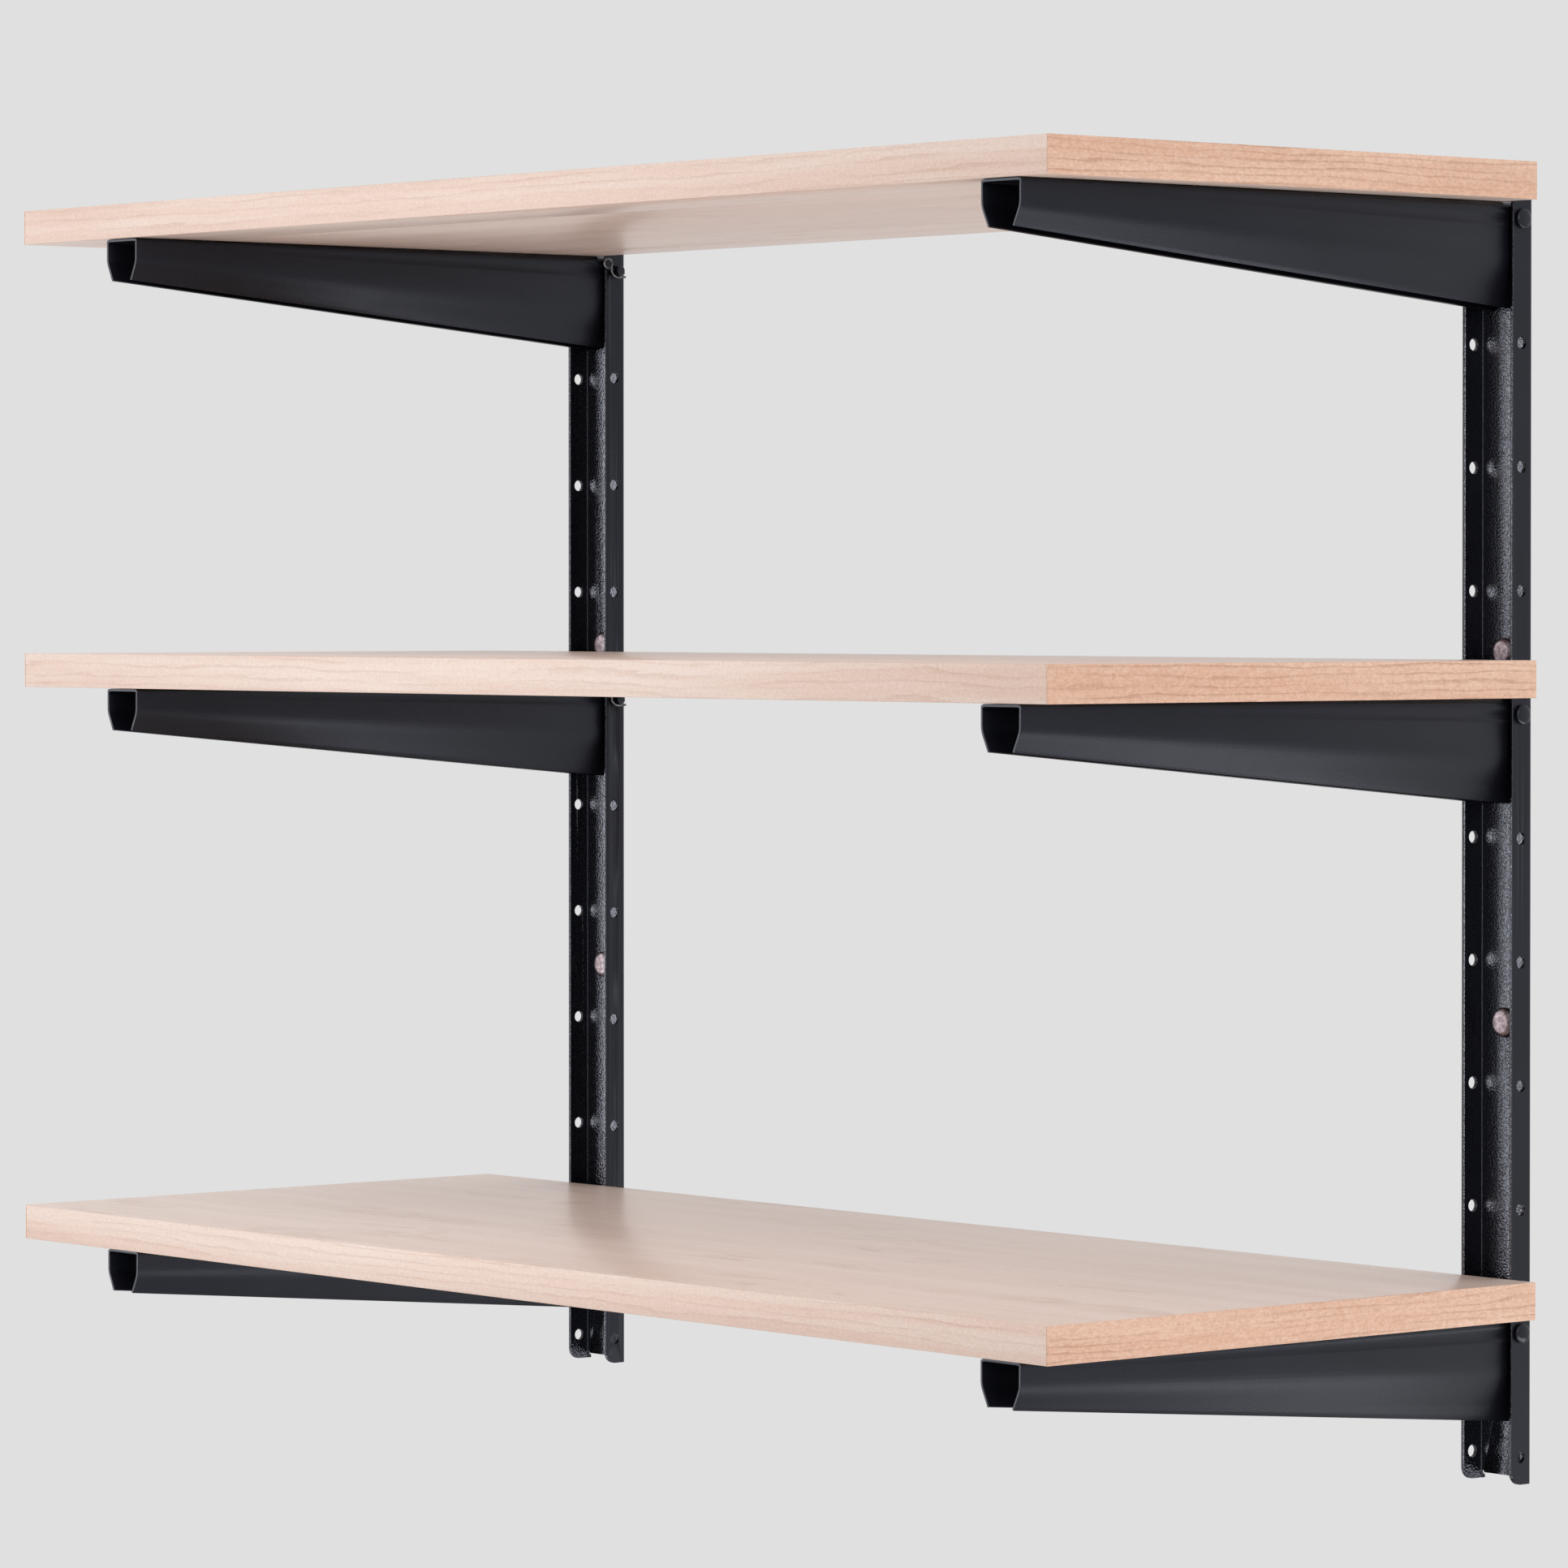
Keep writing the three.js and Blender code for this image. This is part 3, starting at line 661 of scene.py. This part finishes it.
# %% Bolt
HEAD_RADIUS = 10.5 * MM
HEAD_RIM = 1.4 * MM
HEAD_CROWN = 2.6 * MM
CROWN_STEPS = 7
FLAT_SHARE = 0.62                     # of the head's radius, left nearly flat in the middle
NECK_SIDE = 9.5 * MM
NECK_OVERLAP = 0.7 * MM               # how far the neck starts inside the head
bolt_low, bolt_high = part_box("wall_bolt_left_1")
seat_y = bolt_low.y + HEAD_RIM + HEAD_CROWN


def crown(piece, face_rule, radius, height, flat, steps, push):
    """Raises a rounded crown on the picked end face, step by step along an arc."""
    pick(piece, "faces", face_rule)
    reached, wide = 0.0, radius
    for step in range(1, steps + 1):
        angle = step / steps * math.pi / 2
        rise = height * math.sin(angle)
        across = radius * (flat + (1 - flat) * math.cos(angle))
        move = tuple(component * (rise - reached) for component in push)
        bpy.ops.mesh.extrude_region_move(TRANSFORM_OT_translate={"value": move})
        share = across / wide
        shape = bmesh.from_edit_mesh(piece.data)
        picked = [corner.co for corner in shape.verts if corner.select]
        centre = sum(picked, Vector()) / len(picked)
        bpy.ops.transform.resize(value=(share, share, share), center_override=centre)
        reached, wide = rise, across
    done()


bolt = begin("bolt", kind="cylinder", vertices=64, radius=HEAD_RADIUS, depth=HEAD_RIM,
             rotation=(QUARTER_TURN, 0, 0), location=(0, seat_y - HEAD_RIM / 2, 0))
crown(bolt, lambda face: face.normal.y < -FACING, HEAD_RADIUS, HEAD_CROWN, FLAT_SHARE,
      CROWN_STEPS, (0, -1, 0))
neck = begin("neck", kind="cube", size=1,
             location=(0, (seat_y - NECK_OVERLAP + bolt_high.y) / 2, 0),
             dimensions=(NECK_SIDE, bolt_high.y - seat_y + NECK_OVERLAP, NECK_SIDE))
cut(bolt, neck, "UNION")
soften(bolt, 0.25 * MM, angle=40)
finish_with(bolt, bolt_zinc)
for side in SIDES:
    for number in BOLTS:
        node = f"wall_bolt_{side}_{number}"
        offset = (channel_x[side], 0, box_middle(node).z)
        piece = copy_to(bolt, f"coach_bolt_{side}_{number}", offset)
        hand_over(piece, "uprights", "bolt_zinc", node)
bpy.data.objects.remove(bolt)
print("bolts placed:", len(SIDES) * len(BOLTS))

# %% [markdown]
# ## The brackets
#
# A bracket is one folded sheet: a flat top that the board rests on, and two side walls that
# stand upright and then curve inwards. It is low at the tip and deep at the heel.
# The top starts as a plane. Its long edges are extruded down row by row, and each new row is
# drawn in a little by scaling it across. Scaling the heel's end of the sheet downwards gives the
# taper, the two folds are bevelled round, and Solidify makes it 2 mm thick.

# %% Fold the bracket
SHEET = 2 * MM
FOLD_RADIUS = 5 * MM
BRACKET_WIDTH = 41 * MM
TIP_HEIGHT = 33 * MM
HEEL_HEIGHT = 77 * MM
LEAN = 7 * MM                         # how far each side wall ends up drawn in
STRAIGHT_SHARE = 0.45                 # of the wall's height that stands upright
CURVED_SHARE = 0.4                    # of the rest, curved before it runs straight
WALL_ROWS = 16
bracket_low, bracket_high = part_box("bracket_top_left")
tip_y, heel_y = bracket_low.y, bracket_high.y
bracket_top = bracket_high.z - pin_height["top"]


def lean_at(share):
    below = (share - STRAIGHT_SHARE) / (1 - STRAIGHT_SHARE)
    if below <= 0:
        return 0.0
    if below < CURVED_SHARE:
        travel = below * below / (2 * CURVED_SHARE)
    else:
        travel = below - CURVED_SHARE / 2
    return LEAN * travel / (1 - CURVED_SHARE / 2)


bracket = begin("bracket", kind="plane", size=1, location=(0, (tip_y + heel_y) / 2, bracket_top),
                dimensions=(BRACKET_WIDTH, heel_y - tip_y, 1))
pick(bracket, "edges", lambda edge: runs(edge, 1))
half_width = BRACKET_WIDTH / 2
for row in range(1, WALL_ROWS + 1):
    drop = {"value": (0, 0, -TIP_HEIGHT / WALL_ROWS)}
    bpy.ops.mesh.extrude_edges_move(TRANSFORM_OT_translate=drop)
    narrowed = BRACKET_WIDTH / 2 - lean_at(row / WALL_ROWS)
    bpy.ops.transform.resize(value=(narrowed / half_width, 1, 1), center_override=(0, 0, 0))
    half_width = narrowed
done()
pick(bracket, "verts", lambda corner: near(corner.co.y, heel_y))
bpy.ops.transform.resize(value=(1, 1, HEEL_HEIGHT / TIP_HEIGHT),
                         center_override=(0, heel_y, bracket_top))
done()
pick(bracket, "edges", lambda edge: runs(edge, 1) and near(middle(edge).z, bracket_top))
bpy.ops.mesh.bevel(offset=FOLD_RADIUS, segments=8, affect="EDGES")
done()
modify(bracket, "SOLIDIFY", thickness=SHEET, offset=-1, use_even_offset=True)
print("bracket size, mm:", [round(side / MM, 1) for side in bracket.dimensions])

# %% [markdown]
# ## Holes and a relieved heel
#
# The hook pin crosses both walls near the heel, and two screws come up through the top. The
# heel's upper corner is cut back on a slant, so the bracket can tip forward off its pin. Every
# cut edge is then broken by a fine bevel, which catches the light as a thin bright line.

# %% Punch the bracket
SCREW_STATIONS = (70 * MM, 400 * MM)  # behind the tip
BRACKET_HOLE_RADIUS = 4.4 * MM
SCREW_HOLE_RADIUS = 2.4 * MM
SCREW_PUNCH = 12 * MM
RELIEF_SIZE = (ACROSS, 9 * MM, 30 * MM)
RELIEF_SLANT = 9                      # degrees
RELIEF_BACK = 3 * MM                  # cut off the heel at the top
punches = [begin("punch", kind="cylinder", vertices=40, radius=BRACKET_HOLE_RADIUS, depth=ACROSS,
                 rotation=(0, QUARTER_TURN, 0), location=(0, PIN_AXIS_Y, 0))]
for station in SCREW_STATIONS:
    punches.append(begin("punch", kind="cylinder", vertices=32, radius=SCREW_HOLE_RADIUS,
                         depth=SCREW_PUNCH, location=(0, tip_y + station, bracket_top)))
cut(bracket, joined(punches))
relief = begin("relief", kind="cube", size=1, dimensions=RELIEF_SIZE,
               location=(0, heel_y + RELIEF_SIZE[1] / 2 - RELIEF_BACK, bracket_top))
tilt(relief, -RELIEF_SLANT, (0, heel_y - RELIEF_BACK, bracket_top))
cut(bracket, relief)
soften(bracket, 0.3 * MM, angle=50)
finish_with(bracket, satin_coat)
for shelf in SHELVES:
    for side in SIDES:
        node = f"bracket_{shelf}_{side}"
        offset = (channel_x[side], 0, pin_height[shelf])
        piece = copy_to(bracket, f"shelf_{node}", offset)
        hand_over(piece, f"shelf_{shelf}", "bracket_steel", node)
bpy.data.objects.remove(bracket)
print("brackets placed:", len(SHELVES) * len(SIDES))

# %% [markdown]
# ## Boards and edge bands
#
# Each board is a core faced with laminate, and a thin band is ironed round its edges. The end
# bands run the full depth, and the long bands fit between them, so a fine seam shows at each
# front corner. Each starts as a block at the size of its solid in the frame. A small bevel
# takes the sharpness off, as a fitter does with a file so that nobody is cut.

# %% Boards
PILOT_DEPTH = 19 * MM
PILOT_MIDDLE = 6.5 * MM               # above the board's underside
EDGES = (("left", end_wood), ("right", end_wood), ("front", front_wood), ("rear", front_wood))


def block(name, node, finish):
    low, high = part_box(node)
    piece = begin(name, kind="cube", size=1, location=(low + high) / 2,
                  dimensions=tuple(high - low))
    piece.data.materials.append(finish)
    return piece


for shelf in SHELVES:
    body = f"shelf_{shelf}"
    board = block(f"laminated_{shelf}", f"board_{shelf}", face_wood)
    low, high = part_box(f"board_{shelf}")
    pilots = []
    for side in SIDES:
        for station in SCREW_STATIONS:
            place = (channel_x[side], tip_y + station, low.z + PILOT_MIDDLE)
            pilots.append(begin("pilot", kind="cylinder", vertices=24, radius=SCREW_HOLE_RADIUS,
                                depth=PILOT_DEPTH, location=place))
    cut(board, joined(pilots))
    soften(board, 0.25 * MM, angle=60)
    hand_over(board, body, "board_laminate", f"board_{shelf}")
    for edge, finish in EDGES:
        node = f"edge_band_{shelf}_{edge}"
        band = block(f"band_{shelf}_{edge}", node, finish)
        soften(band, 0.4 * MM, segments=3, angle=60)
        hand_over(band, body, "board_edge", node)

# %% [markdown]
# ## Hook pins
#
# A pin is a rod with a wide domed head, a chamfered point and a small cross hole for the
# clip. For the head, the rod's end face is extruded on the spot and widened, and then extruded
# again to the head's rim. The crown that made the bolts' heads then domes it.

# %% Pin
PIN_RADIUS = 4 * MM
PIN_HEAD_RADIUS = 7.1 * MM
PIN_HEAD_HEIGHT = 3.6 * MM
PIN_CROWN = 1.7 * MM                  # how much of the head's height is domed
PIN_FLAT_SHARE = 0.04
PIN_CROWN_STEPS = 12
PIN_CHAMFER = 1 * MM
CROSS_HOLE_RADIUS = 1.3 * MM
CROSS_PUNCH = 16 * MM
WIRE = 2 * MM
CLIP_TILT = 14                        # degrees
pin_low, pin_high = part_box("pin_top_left")
head_seat = pin_low.x + PIN_HEAD_HEIGHT
shank_length = pin_high.x - head_seat
pin = begin("pin", kind="cylinder", vertices=48, radius=PIN_RADIUS, depth=shank_length,
            rotation=(0, QUARTER_TURN, 0), location=(shank_length / 2, PIN_AXIS_Y, 0))
pick(pin, "faces", lambda face: face.normal.x < -FACING)
bpy.ops.mesh.extrude_region_move(TRANSFORM_OT_translate={"value": (0, 0, 0)})
widen = PIN_HEAD_RADIUS / PIN_RADIUS
bpy.ops.transform.resize(value=(1, widen, widen), center_override=(0, PIN_AXIS_Y, 0))
rim = {"value": (PIN_CROWN - PIN_HEAD_HEIGHT, 0, 0)}
bpy.ops.mesh.extrude_region_move(TRANSFORM_OT_translate=rim)
done()
crown(pin, lambda face: face.normal.x < -FACING and face.calc_center_median().x < -1 * MM,
      PIN_HEAD_RADIUS, PIN_CROWN, PIN_FLAT_SHARE, PIN_CROWN_STEPS, (-1, 0, 0))
pick(pin, "edges", lambda edge: all(near(end.co.x, shank_length) for end in edge.verts))
bpy.ops.mesh.bevel(offset=PIN_CHAMFER, segments=3, affect="EDGES")
done()
clip_low, clip_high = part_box("clip_top_left")
clip_station = clip_low.x + WIRE / 2 - head_seat
cross_hole = begin("cross_hole", kind="cylinder", vertices=24, radius=CROSS_HOLE_RADIUS,
                   depth=CROSS_PUNCH, rotation=(QUARTER_TURN, 0, 0),
                   location=(clip_station, PIN_AXIS_Y, 0))
tilt(cross_hole, CLIP_TILT, (clip_station, PIN_AXIS_Y, 0))
cut(pin, cross_hole)
smooth(pin, 32)
finish_with(pin, pin_coat)
print("pin length, mm:", round(pin.dimensions.x / MM, 1), "clip at", round(clip_station / MM, 2))

# %% [markdown]
# ## R-clips
#
# An R-clip is one length of spring wire. Its straight leg goes through the pin, it turns round
# in an eye that a finger can pull, and its second leg wraps under the pin and flares out.
# A smooth curve through a few points is the wire's centre line. Giving the curve a round bevel
# makes the wire, and turning it into a mesh lets its ends be closed and rounded.

# %% Clip
EYE_RADIUS = 3.4 * MM
EYE_REACH = 12 * MM
TAIL = 8 * MM
EYE_STEPS = 8
LEG_SPREAD = 2.4 * MM                 # how far aside the second leg ends up
UNDER = -(PIN_RADIUS + WIRE / 2 + 0.3 * MM)
WIRE_END_ROUND = 0.45 * MM


def wire_points():
    """Along, up and aside for each point, measured from the pin's axis."""
    points = [(-TAIL, 0, 0), (-TAIL / 2, 0, 0), (0, 0, 0), (EYE_REACH / 2, 0, 0)]
    for step in range(EYE_STEPS + 1):
        share = step / EYE_STEPS
        angle = -math.pi / 2 + share * math.pi * 1.5
        points.append((EYE_REACH + EYE_RADIUS * math.cos(angle),
                       EYE_RADIUS + EYE_RADIUS * math.sin(angle), LEG_SPREAD * share))
    points += [
        (EYE_REACH - EYE_RADIUS - 0.4 * MM, 0.4 * MM, LEG_SPREAD),
        (EYE_REACH / 2 + 0.6 * MM, UNDER * 0.62, LEG_SPREAD),
        (PIN_RADIUS * 0.8, UNDER, LEG_SPREAD),
        (-PIN_RADIUS * 0.24, UNDER, LEG_SPREAD),
        (-PIN_RADIUS * 1.3, UNDER * 0.72, LEG_SPREAD),
        (-TAIL, UNDER * 0.62, LEG_SPREAD),
    ]
    return points


def make_clip():
    route = bpy.data.curves.new("clip", "CURVE")
    route.dimensions = "3D"
    route.bevel_depth = WIRE / 2
    route.bevel_resolution = 4
    route.resolution_u = 8
    route.use_fill_caps = True
    line = route.splines.new("BEZIER")
    places = wire_points()
    line.bezier_points.add(len(places) - 1)
    for knot, (along, up, aside) in zip(line.bezier_points, places):
        knot.co = (aside, -along, up)
        knot.handle_left_type = knot.handle_right_type = "AUTO"
    wire = bpy.data.objects.new("clip", route)
    bpy.context.scene.collection.objects.link(wire)
    wire.rotation_euler = (-math.radians(CLIP_TILT), 0, 0)
    wire.location = (clip_station, PIN_AXIS_Y, 0)
    select_only(wire)
    bpy.ops.object.convert(target="MESH")
    wire = bpy.context.active_object
    settle(wire)
    pick(wire, "verts", lambda corner: True)
    bpy.ops.mesh.remove_doubles(threshold=1e-6)
    bpy.ops.mesh.normals_make_consistent(inside=False)
    done()
    modify(wire, "BEVEL", width=WIRE_END_ROUND, segments=3, limit_method="ANGLE",
           angle_limit=math.radians(60))
    smooth(wire, 50)
    finish_with(wire, wire_zinc)
    return wire


clip = make_clip()
for shelf in SHELVES:
    for side in SIDES:
        seat = head_seat if side == "left" else -head_seat
        offset = (seat, 0, pin_height[shelf])
        body = f"pin_{shelf}_{side}"
        for master, title, slot, solid in ((pin, "hook_pin", "pin_steel", "pin"),
                                           (clip, "r_clip", "clip_wire", "clip")):
            piece = copy_to(master, f"{title}_{shelf}_{side}", offset, mirrored=side == "right")
            hand_over(piece, body, slot, f"{solid}_{shelf}_{side}")
bpy.data.objects.remove(pin)
bpy.data.objects.remove(clip)
print("pins and clips placed:", 2 * len(SHELVES) * len(SIDES))

# %% [markdown]
# ## Board screws
#
# Each bracket is held up to its board by two screws, whose heads show only from below. A pan
# head has a rounded crown and a cross recess for the driver. The recess is cut by two tapered
# blades. The shank runs up into the board and ends in a point.

# %% Screw
SCREW_HEAD_RADIUS = 4.5 * MM
SCREW_HEAD_HEIGHT = 3 * MM
SCREW_HEAD_RIM = 1.2 * MM
SCREW_CROWN = 1.8 * MM
SCREW_FLAT_SHARE = 0.55
SCREW_CROWN_STEPS = 6
SCREW_RADIUS = 2.1 * MM
SCREW_OVERLAP = 0.5 * MM              # how far the shank starts inside the head
POINT_SHARE = 0.06                    # of the shank's width, left at the point
BLADE_SIZE = (4.4 * MM, 0.9 * MM, 2.2 * MM)
BLADE_MIDDLE = 0.6 * MM               # above the crown's lowest point
BLADE_TAPER = 0.45
screw_low, screw_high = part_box("board_screw_top_left_1")
screw_seat = screw_low.z + SCREW_HEAD_HEIGHT - pin_height["top"]
screw_tip = screw_high.z - pin_height["top"]
screw = begin("screw", kind="cylinder", vertices=40, radius=SCREW_HEAD_RADIUS,
              depth=SCREW_HEAD_RIM, location=(0, 0, screw_seat - SCREW_HEAD_RIM / 2))
crown(screw, lambda face: face.normal.z < -FACING, SCREW_HEAD_RADIUS, SCREW_CROWN,
      SCREW_FLAT_SHARE, SCREW_CROWN_STEPS, (0, 0, -1))
shank_end = screw_tip - 2 * SCREW_RADIUS
shank = begin("shank", kind="cylinder", vertices=24, radius=SCREW_RADIUS,
              depth=shank_end - screw_seat + SCREW_OVERLAP,
              location=(0, 0, (shank_end + screw_seat - SCREW_OVERLAP) / 2))
pick(shank, "faces", lambda face: face.normal.z > FACING)
bpy.ops.mesh.extrude_region_move(TRANSFORM_OT_translate={"value": (0, 0, 2 * SCREW_RADIUS)})
bpy.ops.transform.resize(value=(POINT_SHARE, POINT_SHARE, 1), center_override=(0, 0, screw_tip))
done()
cut(screw, shank, "UNION")
blade_height = screw_low.z - pin_height["top"] + BLADE_MIDDLE
for turn in (0, QUARTER_TURN):
    blade = begin("blade", kind="cube", size=1, location=(0, 0, blade_height),
                  rotation=(0, 0, turn), dimensions=BLADE_SIZE)
    pick(blade, "faces", lambda face: face.normal.z > FACING)
    bpy.ops.transform.resize(value=(BLADE_TAPER, BLADE_TAPER, 1))
    done()
    cut(screw, blade)
soften(screw, 0.12 * MM, angle=40)
finish_with(screw, screw_zinc)
for shelf in SHELVES:
    for side in SIDES:
        for number, station in enumerate(SCREW_STATIONS, 1):
            node = f"board_screw_{shelf}_{side}_{number}"
            offset = (channel_x[side], tip_y + station, pin_height[shelf])
            piece = copy_to(screw, f"pan_screw_{shelf}_{side}_{number}", offset)
            hand_over(piece, f"shelf_{shelf}", "screw_zinc", node)
bpy.data.objects.remove(screw)
print("screws placed:", len(SHELVES) * len(SIDES) * len(SCREW_STATIONS))
